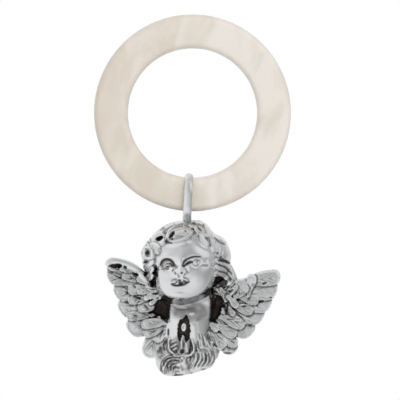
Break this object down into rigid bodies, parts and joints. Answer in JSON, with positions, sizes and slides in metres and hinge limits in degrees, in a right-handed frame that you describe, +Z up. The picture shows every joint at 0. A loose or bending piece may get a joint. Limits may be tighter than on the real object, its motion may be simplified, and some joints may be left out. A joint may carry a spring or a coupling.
{
  "type": "baby rattle",
  "caption": "Hollow silver rattle shaped as a winged cherub's head, swinging by a soldered loop from a cream teething ring, with loose balls inside.",
  "frame": {"origin": "centre of the teething ring, where a hand holds it", "axes": "+Z up as the rattle hangs, -Y the way the cherub faces, +X to the viewer's right"},
  "size_m": [0.055, 0.0182, 0.1013],
  "materials": {
    "teething_ring": "cream pearly plastic, polished",
    "hanging_loop": "polished silver strap",
    "front_shell": "struck silver, polished high spots and oxidised recesses",
    "back_shell": "plain polished silver",
    "rattle_ball": "steel shot"
  },
  "bodies": {
    "ring": {"teething_ring": "teething_ring"},
    "cherub": {"hanging_loop": "hanging_loop", "front_shell": "front_shell", "back_shell": "back_shell"},
    "ball_1": {"rattle_ball_1": "rattle_ball"},
    "ball_2": {"rattle_ball_2": "rattle_ball"},
    "ball_3": {"rattle_ball_3": "rattle_ball"},
    "ball_4": {"rattle_ball_4": "rattle_ball"},
    "ball_5": {"rattle_ball_5": "rattle_ball"}
  },
  "joints": [
    {"name": "cherub_swing", "type": "hinge", "parent": "ring", "child": "cherub", "pos_m": [0, 0, -0.02278], "axis": [1, 0, 0], "range_deg": [-160, 155]},
    {"name": "ball_1_travel", "type": "slide", "parent": "cherub", "child": "ball_1", "axis": [0, 0, 1], "range_m": [0, 0.03]},
    {"name": "ball_2_travel", "type": "slide", "parent": "cherub", "child": "ball_2", "axis": [0, 0, 1], "range_m": [0, 0.03]},
    {"name": "ball_3_travel", "type": "slide", "parent": "cherub", "child": "ball_3", "axis": [0, 0, 1], "range_m": [0, 0.03]},
    {"name": "ball_4_travel", "type": "slide", "parent": "cherub", "child": "ball_4", "axis": [0, 0, 1], "range_m": [0, 0.03]},
    {"name": "ball_5_travel", "type": "slide", "parent": "cherub", "child": "ball_5", "axis": [0, 0, 1], "range_m": [0, 0.03]}
  ]
}
